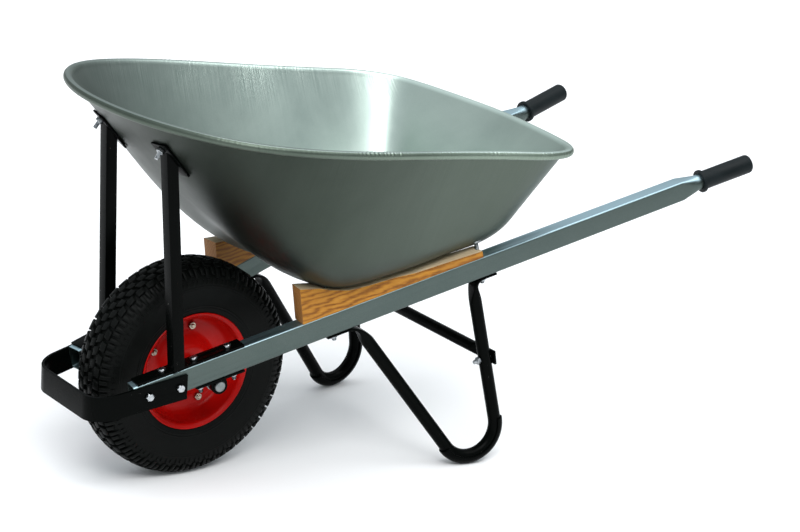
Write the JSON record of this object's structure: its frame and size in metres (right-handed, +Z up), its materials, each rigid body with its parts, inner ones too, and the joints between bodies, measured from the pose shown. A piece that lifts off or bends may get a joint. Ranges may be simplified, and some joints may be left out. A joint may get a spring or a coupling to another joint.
{
  "type": "wheelbarrow",
  "caption": "Builder's wheelbarrow: deep galvanised tray on timber wedges and tapered handle rails, tubular legs, nose guard, pneumatic wheel that spins on a fixed axle.",
  "frame": {"origin": "centre of the bounding box's base, on the ground", "axes": "+X forwards towards the wheel, +Y to the pusher's left, +Z up"},
  "size_m": [1.3213, 0.686, 0.711],
  "materials": {
    "galvanised_tray": "galvanised, satin",
    "galvanised_rail": "galvanised, satin",
    "black_paint": "gloss black paint",
    "red_paint": "gloss red paint",
    "timber": "oiled softwood",
    "grip_rubber": "matte moulded rubber",
    "tyre_rubber": "matte rubber",
    "tube_rubber": "matte rubber",
    "valve_plastic": "matte",
    "zinc": "bright zinc plate",
    "yellow_zinc": "yellow passivated zinc",
    "bright_steel": "turned steel"
  },
  "bodies": {
    "frame": {"tray": "galvanised_tray", "rim_wire": "bright_steel", "left_handle_rail": "galvanised_rail", "right_handle_rail": "galvanised_rail", "left_grip": "grip_rubber", "right_grip": "grip_rubber", "left_wedge": "timber", "right_wedge": "timber", "left_stay": "black_paint", "right_stay": "black_paint", "nose_guard": "black_paint", "left_leg": "black_paint", "right_leg": "black_paint", "left_leg_shoe": "black_paint", "right_leg_shoe": "black_paint", "cross_brace": "black_paint", "left_axle_bracket": "black_paint", "right_axle_bracket": "black_paint", "axle": "bright_steel", "left_axle_spacer": "zinc", "right_axle_spacer": "zinc", "tray_bolts": "zinc", "tray_bolt_nuts": "zinc", "stay_foot_bolts": "zinc", "stay_foot_nuts": "zinc", "stay_top_bolts": "zinc", "stay_top_nuts": "zinc", "guard_bolts": "zinc", "guard_nuts": "zinc", "brace_bolts": "zinc", "brace_nuts": "zinc"},
    "wheel": {"tyre": "tyre_rubber", "inner_tube": "tube_rubber", "left_rim_half": "red_paint", "right_rim_half": "red_paint", "hub": "red_paint", "left_bearing": "bright_steel", "right_bearing": "bright_steel", "rim_bolts": "yellow_zinc", "rim_nuts": "yellow_zinc", "valve_stem": "tube_rubber", "valve_cap": "valve_plastic"}
  },
  "joints": [
    {"name": "wheel_spin", "type": "hinge", "parent": "frame", "child": "wheel", "pos_m": [0.4175, 0, 0.2], "axis": [0, 1, 0], "continuous": true}
  ]
}
